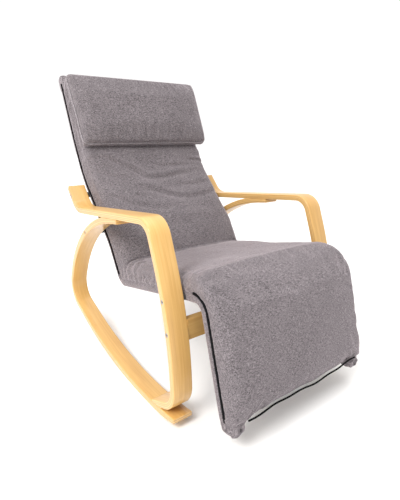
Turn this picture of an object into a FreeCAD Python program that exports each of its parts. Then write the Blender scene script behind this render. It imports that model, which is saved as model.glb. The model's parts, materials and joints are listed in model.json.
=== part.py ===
import FreeCAD, Part
import math
import os

# Rocking chair of bent birch laminate with a cloth-covered seat and a footrest
# that swings up on ratchet hinges.  Millimetres, +Z up, the front of the chair
# faces -Y, and the origin is under the middle of the whole chair on the floor.

Vector = FreeCAD.Vector
doc = FreeCAD.newDocument("rocking_chair")

# ---------------------------------------------------------------- sizes
SIZES = {
    "overall_width": 670,
    "strip_width": 60,
    "arm_thickness": 20,
    "rocker_thickness": 22,
    "toe_y": -365,
    "toe_taper_length": 62,
    "toe_taper_height": 9,
    "foot_end_y": -248,
    "rail_width": 24,
    "rail_thickness": 30,
    "rail_outer_x": 262,
    "cushion_half_width": 264,
    "webbing_thickness": 2,
    "webbing_width": 50,
    "cover_gap": 0.5,
    "skin": 2,
    "back_pad": 49,
    "seat_pad": 29,
    "footrest_pad": 36,
    "pillow_pad": 58,
    "pillow_drop": 280,
    "bar_depth": 22,
    "bar_width": 46,
    "stretcher_thickness": 22,
    "stretcher_height": 58,
    "stretcher_z": 286,
    "stretcher_y": -340,
    "slat_depth": 14,
    "slat_width": 50,
    "dowel_radius": 4,
    "dowel_length": 22,
    "bolt_radius": 3,
    "bolt_hole_radius": 3.3,
    "bolt_head_radius": 6,
    "bolt_head_height": 6,
    "counterbore_radius": 6.5,
    "counterbore_depth": 7,
    "socket_radius": 2.9,
    "socket_depth": 3.5,
    "insert_radius": 5,
    "insert_length": 18,
    "side_bolt_length": 86,
    "stretcher_bolt_length": 96,
    "spacer_radius": 10,
    "barrel_nut_radius": 5,
    "barrel_nut_length": 18,
    "screw_radius": 2,
    "screw_head_radius": 4,
    "screw_head_height": 2.5,
    "leaf_thickness": 3,
    "leaf_width": 22,
    "leaf_length": 84,
    "leaf_disc_radius": 18,
    "leaf_gap": 0.3,
    "pin_radius": 4,
    "pin_clearance": 0.05,
    "pin_head_radius": 7,
    "pin_head_height": 2,
    "gear_radius": 11,
    "gear_thickness": 6,
    "gear_teeth": 16,
    "tooth_depth": 2,
    "pawl_gap": 0.4,
    "housing_radius": 18,
    "housing_depth": 10,
    "housing_wall": 2,
    "knee_half_width": 218,
    "knee_outer_radius": 47,
    "knee_inner_radius": 27,
    "knee_start_angle": 62,
    "knee_end_angle": 196,
    "rail_start": 27,
    "footrest_pad_start": 50,
}

# Corners of each bent piece as (y, z, bend radius).  The piece is straight from
# corner to corner and bent round each one at its own radius.
BENDS = {
    "arm": [(341, 584, 0), (273, 511, 80), (-255, 565, 55), (-354, 304, 1040),
            (-361, 76, 75), (-242, 19, 0)],
    "rocker": [(-74, 534, 0), (269, 485, 583), (453, 129.5, 75), (-130, -65.8, 1374),
               (-576, 85, 0)],
    "rail": [(525.4, 957, 0), (436, 750, 400), (368, 617, 400), (156, 401, 300),
             (83, 279.5, 35), (-360, 382, 0)],
    "footrest": [(-402, 372, 0), (-489.8, 78.2, 0)],
}

sheet = doc.addObject("Spreadsheet::Sheet", "Sizes")


def write_cell(row, alias, value):
    sheet.set(f"A{row}", alias)
    sheet.set(f"B{row}", str(value))
    sheet.setAlias(f"B{row}", alias)


def fill_sheet():
    row = 1
    for alias, value in SIZES.items():
        write_cell(row, alias, value)
        row += 1
    for piece, corners in BENDS.items():
        for index, corner in enumerate(corners):
            for field, value in zip(("y", "z", "radius"), corner):
                write_cell(row, f"{piece}_corner_{index}_{field}", value)
                row += 1


fill_sheet()
doc.recompute()


def size(alias):
    return float(sheet.get(alias))


# ---------------------------------------------------------------- bent paths
def polar(angle, radius=1.0):
    return (radius * math.cos(angle), radius * math.sin(angle))


def shifted(point, heading, along, left):
    side = polar(heading + math.pi / 2, left)
    ahead = polar(heading, along)
    return (point[0] + ahead[0] + side[0], point[1] + ahead[1] + side[1])


class Run:
    """A straight stretch of a path."""

    def __init__(self, start, heading, length):
        self.start, self.heading, self.length = start, heading, length

    def cut(self, first, last):
        return Run(shifted(self.start, self.heading, first, 0), self.heading, last - first)

    def place(self, distance):
        return shifted(self.start, self.heading, distance, 0), self.heading

    def edge(self, left):
        a = shifted(self.start, self.heading, 0, left)
        b = shifted(self.start, self.heading, self.length, left)
        return a, None, b


class Bend:
    """A round stretch of a path; a positive turn goes to the left."""

    def __init__(self, centre, radius, start_angle, turn):
        self.centre, self.radius = centre, radius
        self.start_angle, self.turn = start_angle, turn
        self.length = radius * abs(turn)

    def cut(self, first, last):
        share = self.turn / self.length
        return Bend(self.centre, self.radius, self.start_angle + share * first,
                    share * (last - first))

    def place(self, distance):
        side = math.copysign(1, self.turn)
        angle = self.start_angle + self.turn * distance / self.length
        spot = polar(angle, self.radius)
        return (self.centre[0] + spot[0], self.centre[1] + spot[1]), angle + side * math.pi / 2

    def edge(self, left):
        radius = self.radius - math.copysign(left, self.turn * left) if left else self.radius
        spots = []
        for share in (0, 0.5, 1):
            spot = polar(self.start_angle + self.turn * share, radius)
            spots.append((self.centre[0] + spot[0], self.centre[1] + spot[1]))
        return tuple(spots)


def heading_of(a, b):
    return math.atan2(b[1] - a[1], b[0] - a[0])


class Path:
    """Straight runs joined by tangent bends, read from the sheet."""

    def __init__(self, piece):
        corners = []
        for index in range(len(BENDS[piece])):
            corners.append([size(f"{piece}_corner_{index}_{field}") for field in ("y", "z", "radius")])
        self.stretches = []
        start = tuple(corners[0][:2])
        for before, here, after in zip(corners, corners[1:], corners[2:]):
            heading = heading_of(before, here)
            turn = math.remainder(heading_of(here, after) - heading, 2 * math.pi)
            radius = here[2]
            tangent = radius * math.tan(abs(turn) / 2)
            bend_start = shifted(here[:2], heading, -tangent, 0)
            side = math.copysign(1, turn)
            centre = shifted(bend_start, heading, 0, side * radius)
            self.stretches.append(Run(start, heading, math.dist(start, bend_start)))
            self.stretches.append(Bend(centre, radius, heading - side * math.pi / 2, turn))
            start = shifted(here[:2], heading_of(here, after), tangent, 0)
        end = tuple(corners[-1][:2])
        self.stretches.append(Run(start, heading_of(start, end), math.dist(start, end)))
        self.length = sum(stretch.length for stretch in self.stretches)

    def middle_of_bend(self, index):
        """Distance along the path to the middle of the bend at a corner."""
        before = self.stretches[:2 * index - 1]
        return sum(stretch.length for stretch in before) + self.stretches[2 * index - 1].length / 2

    def span(self, first, last):
        pieces = []
        travelled = 0.0
        for stretch in self.stretches:
            low = max(first - travelled, 0)
            high = min(last - travelled, stretch.length)
            if high - low > 1e-6:
                pieces.append(stretch.cut(low, high))
            travelled += stretch.length
        return pieces

    def place(self, distance):
        travelled = 0.0
        for stretch in self.stretches:
            if distance <= travelled + stretch.length:
                return stretch.place(distance - travelled)
            travelled += stretch.length
        return stretch.place(stretch.length)

    def band(self, low, high, first=0.0, last=None):
        """Closed outline between two offsets, each measured to the left of travel."""
        pieces = self.span(first, self.length if last is None else last)
        there = [piece.edge(high) for piece in pieces]
        back = [tuple(reversed(piece.edge(low))) for piece in reversed(pieces)]
        cap = (there[-1][2], None, back[0][0])
        close = (back[-1][2], None, there[0][0])
        return there + [cap] + back + [close]


# ---------------------------------------------------------------- building blocks
def origin_plane(body, role):
    for feature in body.Origin.OriginFeatures:
        if feature.Role == role:
            return feature
    raise ValueError(role)


def draw(sketch, outline):
    for a, middle, b in outline:
        if middle is None:
            sketch.addGeometry(Part.LineSegment(Vector(*a, 0), Vector(*b, 0)))
        else:
            sketch.addGeometry(Part.Arc(Vector(*a, 0), Vector(*middle, 0), Vector(*b, 0)))


def side_sketch(body, name, outline):
    """A sketch on the body's YZ plane: its x is the chair's Y, its y the chair's Z."""
    sketch = body.newObject("Sketcher::SketchObject", name)
    sketch.AttachmentSupport = [(origin_plane(body, "YZ_Plane"), "")]
    sketch.MapMode = "FlatFace"
    draw(sketch, outline)
    return sketch


def side_profile(name, outline, width, left_edge):
    """A body whose side outline is padded across the chair, from x = left_edge."""
    body = doc.addObject("PartDesign::Body", name)
    pad = body.newObject("PartDesign::Pad", name + "_pad")
    pad.Profile = side_sketch(body, name + "_outline", outline)
    pad.setExpression("Length", width)
    body.setExpression("Placement.Base.x", left_edge)
    doc.recompute()
    return body


def side_pocket(body, name, outline):
    """Cuts a side outline right through a body, and checks that it took wood away."""
    volume = body.Shape.Volume
    pocket = body.newObject("PartDesign::Pocket", name)
    pocket.Profile = side_sketch(body, name + "_outline", outline)
    pocket.Type = "ThroughAll"
    pocket.Reversed = True
    doc.recompute()
    if not 0 < body.Shape.Volume < volume - 1:
        raise ValueError(f"{name} cuts nothing")


def polygon(*points):
    return [(a, None, b) for a, b in zip(points, points[1:] + points[:1])]


def bind(thing, **expressions):
    for field, expression in expressions.items():
        thing.setExpression(field.replace("__", "."), expression)


def block(name, length, width, height, spot, heading=0.0):
    """A box centred on spot (x, y, z) whose width runs along a heading in the YZ plane."""
    box = doc.addObject("Part::Box", name)
    bind(box, Length=length, Width=width, Height=height)
    doc.recompute()
    half = Vector(box.Length.Value / 2, box.Width.Value / 2, box.Height.Value / 2)
    turn = FreeCAD.Rotation(Vector(1, 0, 0), math.degrees(heading))
    box.Placement = FreeCAD.Placement(Vector(*spot) - turn.multVec(half), turn)
    return box


def rod(name, radius, length, spot, direction=(1, 0, 0)):
    """A cylinder that starts at spot and runs along direction."""
    cylinder = doc.addObject("Part::Cylinder", name)
    bind(cylinder, Radius=radius, Height=length)
    turn = FreeCAD.Rotation(Vector(0, 0, 1), Vector(*direction))
    cylinder.Placement = FreeCAD.Placement(Vector(*spot), turn)
    return cylinder


def group(name, members):
    compound = doc.addObject("Part::Compound", name)
    compound.Links = members
    return compound


def fuse(name, members):
    fusion = doc.addObject("Part::MultiFuse", name)
    fusion.Shapes = members
    return fusion


def cut(name, base, tools):
    result = doc.addObject("Part::Cut", name)
    result.Base = base
    result.Tool = tools[0] if len(tools) == 1 else group(name + "_tools", tools)
    return result


NODES = []


def node(thing, label):
    thing.Label = label
    NODES.append(thing)
    return thing


def hex_bolt(name, spot, direction, length):
    """A socket-head bolt whose head's underside is at spot."""
    ahead = Vector(*direction)
    back = ahead * -1
    top = Vector(*spot) + back * (size("bolt_head_height") - size("socket_depth"))
    head = rod(name + "_head", "Sizes.bolt_head_radius", "Sizes.bolt_head_height", spot, back)
    shank = rod(name + "_shank", "Sizes.bolt_radius", f"{length}", spot, ahead)
    socket = doc.addObject("Part::Prism", name + "_socket")
    socket.Polygon = 6
    bind(socket, Circumradius="Sizes.socket_radius", Height="Sizes.socket_depth + 1")
    socket.Placement = FreeCAD.Placement(top, FreeCAD.Rotation(Vector(0, 0, 1), back))
    return cut(name, fuse(name + "_blank", [head, shank]), [socket])


def wood_screw(name, spot, direction, length):
    """A flat round-head screw whose head's underside is at spot."""
    ahead = Vector(*direction)
    head = rod(name + "_head", "Sizes.screw_head_radius", "Sizes.screw_head_height", spot, ahead * -1)
    shank = rod(name + "_shank", "Sizes.screw_radius", f"{length}", spot, ahead)
    return fuse(name, [head, shank])


SIDES = {"left": -1, "right": 1}
HALF_WIDTH = size("overall_width") / 2
STRIP_INNER = HALF_WIDTH - size("strip_width")
RAIL_OUTER = size("rail_outer_x")
RAIL_INNER = RAIL_OUTER - size("rail_width")
PIVOT = BENDS["footrest"][0][:2]

arm_path = Path("arm")
rocker_path = Path("rocker")
rail_path = Path("rail")
footrest_path = Path("footrest")


# ---------------------------------------------------------------- fastener places
# Bolts run across the chair at these (y, z) places on each side.
BOLT_SPOTS = {
    "arm": (318, 555),
    "rocker": (202, 441),
    "seat": (-323, 371),
    "stretcher": (-341, 286),
}
# Upright dowels pin the arm to the rocker and the foot of the leg to the runner.
ARM_DOWELS = [(-40, 528), (10, 523)]
FOOT_DOWELS = [(-300, 26), (-272, 24)]


def x_rods(name, radius, first_x, length, spots):
    """Rods across the chair on both sides; first_x and length run outwards."""
    rods = []
    for side_name, side in SIDES.items():
        for index, (y, z) in enumerate(spots):
            rods.append(rod(f"{name}_{side_name}_{index}", radius, length,
                            (side * first_x, y, z), (side, 0, 0)))
    return rods


def dowels(name, spots, side):
    x = side * (STRIP_INNER + HALF_WIDTH) / 2
    rods = []
    for index, (y, z) in enumerate(spots):
        rods.append(rod(f"{name}_{index}", "Sizes.dowel_radius", "Sizes.dowel_length",
                        (x, y, z - size("dowel_length") / 2), (0, 0, 1)))
    return rods


def strip_bores(name, side, spots):
    """Cylinders that bore a strip right through and counterbore its outer edge."""
    tools = []
    for index, (y, z) in enumerate(spots):
        tools.append(rod(f"{name}_bore_{index}", "Sizes.bolt_hole_radius", "Sizes.strip_width + 2",
                         (side * (STRIP_INNER - 1), y, z), (side, 0, 0)))
        tools.append(rod(f"{name}_counterbore_{index}", "Sizes.counterbore_radius",
                         "Sizes.counterbore_depth", (side * HALF_WIDTH, y, z), (-side, 0, 0)))
    return tools


# ---------------------------------------------------------------- side frames
def runner_faces():
    """Centre of the runner's bend, and the radii of its upper and lower faces."""
    bend = [stretch for stretch in rocker_path.stretches if isinstance(stretch, Bend)][-1]
    half = size("rocker_thickness") / 2
    return bend.centre, bend.radius - half, bend.radius + half


def on_runner(y, radius):
    centre = runner_faces()[0]
    return (y, centre[1] - math.sqrt(radius ** 2 - (y - centre[0]) ** 2))


BELOW_FLOOR = -60
ABOVE_TOE = 200


def below_runner_top(front, rear):
    """Outline of the space under the runner's upper face, from y = front to rear."""
    radius = runner_faces()[1]
    a, middle, b = [on_runner(y, radius) for y in (front, (front + rear) / 2, rear)]
    return [(a, middle, b), (b, None, (rear, BELOW_FLOOR)),
            ((rear, BELOW_FLOOR), None, (front, BELOW_FLOOR)), ((front, BELOW_FLOOR), None, a)]


def above_arm_underside():
    """Outline of the space over the plane of the arm's underside."""
    run = arm_path.stretches[2]
    under = size("arm_thickness") / 2
    rear = shifted(run.start, run.heading, -120, under)
    front = shifted(run.start, run.heading, run.length + 60, under)
    return polygon(rear, front, (front[0], front[1] + 120), (rear[0], rear[1] + 120))


def around_toe():
    """Outline of what is taken off in front of the toe and under its taper."""
    toe = size("toe_y")
    bottom = runner_faces()[2]
    bevel = on_runner(toe + size("toe_taper_length"), bottom)
    tip = (toe, on_runner(toe, bottom)[1] + size("toe_taper_height"))
    front = toe - 400
    return polygon(bevel, tip, (toe, ABOVE_TOE), (front, ABOVE_TOE), (front, BELOW_FLOOR),
                   (bevel[0], BELOW_FLOOR))


def below_floor():
    """Outline of what is planed off level, so that the empty chair stands still."""
    return polygon((-HALF_WIDTH, 0), (HALF_WIDTH, 0), (HALF_WIDTH, BELOW_FLOOR),
                   (-HALF_WIDTH, BELOW_FLOOR))


def side_strip(name, path, thickness, side):
    half = size(thickness) / 2
    inner = "(Sizes.overall_width / 2 - Sizes.strip_width)"
    left_edge = inner if side > 0 else "-Sizes.overall_width / 2"
    return side_profile(name, path.band(-half, half), "Sizes.strip_width", left_edge)


def make_arm_leg(side_name, side):
    name = f"{side_name}_arm_leg"
    strip = side_strip(name + "_strip", arm_path, "arm_thickness", side)
    side_pocket(strip, name + "_foot", below_runner_top(-380, -150))
    end = size("foot_end_y")
    side_pocket(strip, name + "_foot_end",
                polygon((end, BELOW_FLOOR), (end + 60, BELOW_FLOOR), (end + 60, 60), (end, 60)))
    tools = strip_bores(name, side, [BOLT_SPOTS[key] for key in ("arm", "seat", "stretcher")])
    tools += dowels(name + "_arm_dowel", ARM_DOWELS, side)
    tools += dowels(name + "_foot_dowel", FOOT_DOWELS, side)
    node(cut(name, strip, tools), name)


def make_rocker(side_name, side):
    name = f"{side_name}_rocker"
    strip = side_strip(name + "_strip", rocker_path, "rocker_thickness", side)
    side_pocket(strip, name + "_scarf", above_arm_underside())
    side_pocket(strip, name + "_toe", around_toe())
    side_pocket(strip, name + "_standing_flat", below_floor())
    tools = strip_bores(name, side, [BOLT_SPOTS["rocker"]])
    tools += dowels(name + "_arm_dowel", ARM_DOWELS, side)
    tools += dowels(name + "_foot_dowel", FOOT_DOWELS, side)
    node(cut(name, strip, tools), name)


def make_side_dowels():
    pegs = []
    for side_name, side in SIDES.items():
        pegs += dowels(f"{side_name}_arm_peg", ARM_DOWELS, side)
        pegs += dowels(f"{side_name}_foot_peg", FOOT_DOWELS, side)
    node(group("side_frame_dowels", pegs), "side_frame_dowels")


# ---------------------------------------------------------------- front stretcher
def make_stretcher():
    """Board between the legs, drawn in by a bolt and a barrel nut at each end."""
    y, z = size("stretcher_y"), size("stretcher_z")
    bolt_y, bolt_z = BOLT_SPOTS["stretcher"]
    board = block("stretcher_board", "Sizes.overall_width - 2 * Sizes.strip_width",
                  "Sizes.stretcher_thickness", "Sizes.stretcher_height", (0, y, z))
    nut_x = STRIP_INNER - 28
    nut_y = bolt_y - size("barrel_nut_length") / 2
    tools = x_rods("stretcher_bore", "Sizes.bolt_hole_radius", STRIP_INNER - 45, "46",
                   [BOLT_SPOTS["stretcher"]])
    nuts = []
    for side_name, side in SIDES.items():
        spot = (side * nut_x, nut_y, bolt_z)
        tools.append(rod(f"nut_pocket_{side_name}", "Sizes.barrel_nut_radius",
                         "Sizes.barrel_nut_length", spot, (0, 1, 0)))
        slug = rod(f"nut_slug_{side_name}", "Sizes.barrel_nut_radius", "Sizes.barrel_nut_length",
                   spot, (0, 1, 0))
        thread = rod(f"nut_thread_{side_name}", "Sizes.bolt_radius", "40",
                     (side * (nut_x - 20), bolt_y, bolt_z), (side, 0, 0))
        nuts.append(cut(f"barrel_nut_{side_name}", slug, [thread]))
    node(cut("front_stretcher", board, tools), "front_stretcher")
    node(group("barrel_nuts", nuts), "stretcher_barrel_nuts")


def make_side_bolts():
    """Four socket-head bolts a side, each sunk in the outer edge of a strip."""
    head_x = HALF_WIDTH - size("counterbore_depth")
    for key, label, length in (("arm", "arm_bolts", "Sizes.side_bolt_length"),
                               ("rocker", "rocker_bolts", "Sizes.side_bolt_length"),
                               ("seat", "seat_bolts", "Sizes.side_bolt_length"),
                               ("stretcher", "stretcher_bolts", "Sizes.stretcher_bolt_length")):
        y, z = BOLT_SPOTS[key]
        bolts = [hex_bolt(f"{label}_{side_name}", (side * head_x, y, z), (-side, 0, 0), length)
                 for side_name, side in SIDES.items()]
        node(group(label, bolts), label)


# ---------------------------------------------------------------- seat and back frame
RAIL_SPOTS = [BOLT_SPOTS[key] for key in ("arm", "rocker", "seat")]
HEAD_BAR_AT = 45
LUMBAR_BAR_AT = 560
BACK_FOOT_BAR_AT = 735
REAR_SEAT_BAR_AT = 905
FRONT_SEAT_BAR_FROM_END = 100
BAR_SCREW_PITCH = 24
BAR_SCREW_LENGTH = 44


def seat_bars():
    """Names of the crossbars, and how far along the side rail each one sits."""
    return {
        "head_crossbar": HEAD_BAR_AT,
        "lumbar_crossbar": LUMBAR_BAR_AT,
        "back_foot_crossbar": BACK_FOOT_BAR_AT,
        "rear_seat_crossbar": REAR_SEAT_BAR_AT,
        "front_seat_crossbar": rail_path.length - FRONT_SEAT_BAR_FROM_END,
    }


def bar_screw_spots(path, distance):
    spots = []
    for step in (-0.5, 0.5):
        spots.append(path.place(distance + step * BAR_SCREW_PITCH)[0])
    return spots


LEAF_SCREW_LENGTH = 16
SEAT_LEAF_SCREWS = (52, 67)
FOOT_LEAF_SCREWS = (45, 75)
SEAT_LEAF_TARGET_FROM_END = 75


def leaf_headings():
    """Headings of the two hinge leaves, from the pivot along each rail."""
    target = rail_path.place(rail_path.length - SEAT_LEAF_TARGET_FROM_END)[0]
    return heading_of(PIVOT, target), footrest_path.stretches[0].heading


def leaf_screw_spots(heading, distances):
    return [shifted(PIVOT, heading, distance, 0) for distance in distances]


def make_side_rail(side_name, side):
    name = f"{side_name}_side_rail"
    half = size("rail_thickness") / 2
    left_edge = "Sizes.rail_outer_x - Sizes.rail_width" if side > 0 else "-Sizes.rail_outer_x"
    strip = side_profile(name + "_strip", rail_path.band(-half, half), "Sizes.rail_width", left_edge)
    tools = []
    for index, (y, z) in enumerate(RAIL_SPOTS):
        tools.append(rod(f"{name}_insert_bore_{index}", "Sizes.insert_radius", "Sizes.rail_width + 2",
                         (side * (RAIL_INNER - 1), y, z), (side, 0, 0)))
    screw_spots = [spot for at in seat_bars().values() for spot in bar_screw_spots(rail_path, at)]
    for index, (y, z) in enumerate(screw_spots):
        tools.append(rod(f"{name}_screw_bore_{index}", "Sizes.screw_radius", "Sizes.rail_width + 2",
                         (side * (RAIL_INNER - 1), y, z), (side, 0, 0)))
    for index, (y, z) in enumerate(leaf_screw_spots(leaf_headings()[0], SEAT_LEAF_SCREWS)):
        tools.append(rod(f"{name}_leaf_bore_{index}", "Sizes.screw_radius", f"{LEAF_SCREW_LENGTH}",
                         (side * RAIL_INNER, y, z), (side, 0, 0)))
    node(cut(name, strip, tools), name)


def make_bars(bars, path, half_length, depth, width, screw_label):
    """Crossbars between two rails, each held by two screws at either end."""
    screws = []
    reach = BAR_SCREW_LENGTH - (RAIL_OUTER - half_length)
    for label, at in bars.items():
        (y, z), heading = path.place(at)
        blank = block(label + "_blank", f"2 * {half_length}", width, depth, (0, y, z), heading)
        spots = bar_screw_spots(path, at)
        bores = x_rods(label + "_bore", "Sizes.screw_radius", half_length - reach, f"{reach + 1}", spots)
        node(cut(label, blank, bores), label)
        for side_name, side in SIDES.items():
            for index, (screw_y, screw_z) in enumerate(spots):
                screws.append(wood_screw(f"{label}_screw_{side_name}_{index}",
                                         (side * RAIL_OUTER, screw_y, screw_z), (-side, 0, 0),
                                         BAR_SCREW_LENGTH))
    node(group(screw_label, screws), screw_label)


def make_rail_hardware():
    """Threaded inserts in the rails, and the spacers between rail and side frame."""
    inserts, spacers = [], []
    first_x = RAIL_OUTER - size("insert_length")
    shells = x_rods("insert", "Sizes.insert_radius", first_x, "Sizes.insert_length", RAIL_SPOTS)
    threads = x_rods("insert_thread", "Sizes.bolt_radius", first_x - 1, "Sizes.insert_length + 2",
                     RAIL_SPOTS)
    rings = x_rods("spacer", "Sizes.spacer_radius", RAIL_OUTER, f"{STRIP_INNER - RAIL_OUTER}",
                   RAIL_SPOTS)
    holes = x_rods("spacer_hole", "Sizes.bolt_hole_radius", RAIL_OUTER - 1,
                   f"{STRIP_INNER - RAIL_OUTER + 2}", RAIL_SPOTS)
    for index, (shell, thread, ring, hole) in enumerate(zip(shells, threads, rings, holes)):
        inserts.append(cut(f"threaded_insert_{index}", shell, [thread]))
        spacers.append(cut(f"rail_spacer_{index}", ring, [hole]))
    node(group("threaded_inserts", inserts), "threaded_inserts")
    node(group("rail_spacers", spacers), "rail_spacers")


def make_webbing(label, first, last, count):
    """Straps stretched from rail to rail over the faces that carry the cushions."""
    straps = []
    face = size("rail_thickness") / 2
    half_strap = size("webbing_width") / 2
    for index in range(count):
        at = first + (last - first) * index / (count - 1)
        outline = rail_path.band(-face - size("webbing_thickness"), -face,
                                 at - half_strap, at + half_strap)
        straps.append(side_profile(f"{label}_{index}", outline, "2 * Sizes.rail_outer_x",
                                   "-Sizes.rail_outer_x"))
    node(group(label, straps), label)


# ---------------------------------------------------------------- soft pieces
def pad_body(name, path, first, last, low, high, inset=0.0):
    """A plain pad on the front face of a path, drawn in by an inset on every side."""
    outline = path.band(inset - high, -inset - low, first + inset, last - inset)
    half_width = f"(Sizes.cushion_half_width - {inset})"
    return side_profile(name, outline, f"2 * {half_width}", f"-{half_width}")


def make_pad(label, path, first, last, low, high):
    node(pad_body(label + "_pad", path, first, last, low, high), label)


def make_light_pad(label, path, first, last, low, high):
    """A pad whose skin alone has weight, as its filling is light foam or fibre."""
    pad = pad_body(label + "_pad", path, first, last, low, high)
    filling = pad_body(label + "_filling", path, first, last, low, high, size("skin"))
    node(cut(label, pad, [filling]), label)


def knee_roll_outline():
    """A part ring round the footrest's axis, between two radii and two angles."""
    start, end = [math.radians(size(f"knee_{which}_angle")) for which in ("start", "end")]
    arcs = []
    for radius in (size("knee_outer_radius"), size("knee_inner_radius")):
        spots = [polar(angle, radius) for angle in (start, (start + end) / 2, end)]
        arcs.append([(PIVOT[0] + y, PIVOT[1] + z) for y, z in spots])
    outer, inner = arcs
    return [tuple(outer), (outer[2], None, inner[2]), tuple(reversed(inner)),
            (inner[0], None, outer[0])]


SEAT_CORNER = 4
BACK_PAD_TOP = 6
PILLOW_TOP = 24
PAD_OVERHANG = 29
BACK_PAD_CLEAR = 60
SEAT_PAD_CLEAR = 28


def make_cushions():
    rest = size("rail_thickness") / 2 + size("webbing_thickness") + size("cover_gap")
    front = rest + size("back_pad")
    corner = rail_path.middle_of_bend(SEAT_CORNER)
    make_light_pad("back_cushion", rail_path, BACK_PAD_TOP, corner - BACK_PAD_CLEAR, rest, front)
    make_pad("seat_cushion", rail_path, corner + SEAT_PAD_CLEAR, rail_path.length, rest,
             rest + size("seat_pad"))
    pillow_back = front + size("cover_gap")
    make_light_pad("head_pillow", rail_path, PILLOW_TOP, size("pillow_drop"), pillow_back,
                   pillow_back + size("pillow_pad"))
    roll = side_profile("knee_roll_pad", knee_roll_outline(), "2 * Sizes.knee_half_width",
                        "-Sizes.knee_half_width")
    node(roll, "knee_roll")
    low = size("slat_depth") / 2 + 9
    make_pad("footrest_cushion", footrest_path, size("footrest_pad_start"), footrest_path.length,
             low, low + size("footrest_pad"))


# ---------------------------------------------------------------- footrest
LEAF_OUTER = RAIL_INNER
SEAT_LEAF_INNER = LEAF_OUTER - size("leaf_thickness")
FOOT_RAIL_INNER = SEAT_LEAF_INNER - size("leaf_gap")
FOOT_LEAF_INNER = FOOT_RAIL_INNER - size("leaf_thickness")
SLATS = {"upper_footrest_slat": 112, "middle_footrest_slat": 178, "lower_footrest_slat": 244}


def make_footrest_rail(side_name, side):
    name = f"{side_name}_footrest_rail"
    half = size("rail_thickness") / 2
    last = footrest_path.length - PAD_OVERHANG
    left = f"{FOOT_RAIL_INNER}" if side > 0 else "-Sizes.rail_outer_x"
    strip = side_profile(name + "_strip", footrest_path.band(-half, half, size("rail_start"), last),
                         f"Sizes.rail_outer_x - {FOOT_RAIL_INNER}", left)
    spots = [spot for at in SLATS.values() for spot in bar_screw_spots(footrest_path, at)]
    tools = []
    for index, (y, z) in enumerate(spots):
        tools.append(rod(f"{name}_screw_bore_{index}", "Sizes.screw_radius",
                         f"{RAIL_OUTER - FOOT_RAIL_INNER + 2}",
                         (side * (FOOT_RAIL_INNER - 1), y, z), (side, 0, 0)))
    for index, (y, z) in enumerate(leaf_screw_spots(leaf_headings()[1], FOOT_LEAF_SCREWS)):
        tools.append(rod(f"{name}_leaf_bore_{index}", "Sizes.screw_radius", f"{LEAF_SCREW_LENGTH}",
                         (side * FOOT_RAIL_INNER, y, z), (side, 0, 0)))
    node(cut(name, strip, tools), name)


# ---------------------------------------------------------------- ratchet hinges
def make_leaf(name, side, inner_x, heading, hole_radius, screw_distances):
    """A round-ended steel plate from the pivot along a rail, on the plane x = inner_x."""
    length = size("leaf_length")
    middle = shifted(PIVOT, heading, length / 2, 0)
    x = side * (inner_x + size("leaf_thickness") / 2)
    plate = block(name + "_plate", "Sizes.leaf_thickness", "Sizes.leaf_length", "Sizes.leaf_width",
                  (x, *middle), heading)
    disc = rod(name + "_disc", "Sizes.leaf_disc_radius", "Sizes.leaf_thickness",
               (side * inner_x, *PIVOT), (side, 0, 0))
    tools = [rod(name + "_pin_hole", hole_radius, "Sizes.leaf_thickness + 2",
                 (side * (inner_x - 1), *PIVOT), (side, 0, 0))]
    for index, (y, z) in enumerate(leaf_screw_spots(heading, screw_distances)):
        tools.append(rod(f"{name}_screw_hole_{index}", "Sizes.screw_radius",
                         "Sizes.leaf_thickness + 2", (side * (inner_x - 1), y, z), (side, 0, 0)))
    node(cut(name, fuse(name + "_blank", [plate, disc]), tools), name)


def leaf_screws(label, inner_x, heading, distances):
    screws = []
    for side_name, side in SIDES.items():
        for index, (y, z) in enumerate(leaf_screw_spots(heading, distances)):
            screws.append(wood_screw(f"{label}_{side_name}_{index}", (side * inner_x, y, z),
                                     (side, 0, 0), LEAF_SCREW_LENGTH + size("leaf_thickness")))
    node(group(label, screws), label)


def gear_outline():
    """Saw-toothed rim round the pivot."""
    outer = size("gear_radius")
    root = outer - size("tooth_depth")
    pitch = 2 * math.pi / int(size("gear_teeth"))
    points = []
    for tooth in range(int(size("gear_teeth"))):
        for radius, share in ((root, 0.0), (outer, 0.9)):
            spot = polar((tooth + share) * pitch, radius)
            points.append((PIVOT[0] + spot[0], PIVOT[1] + spot[1]))
    return polygon(*points)


PIN_END = FOOT_LEAF_INNER - size("housing_depth") + size("housing_wall") + 0.5
GEAR_INNER = PIN_END + 0.3


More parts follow.
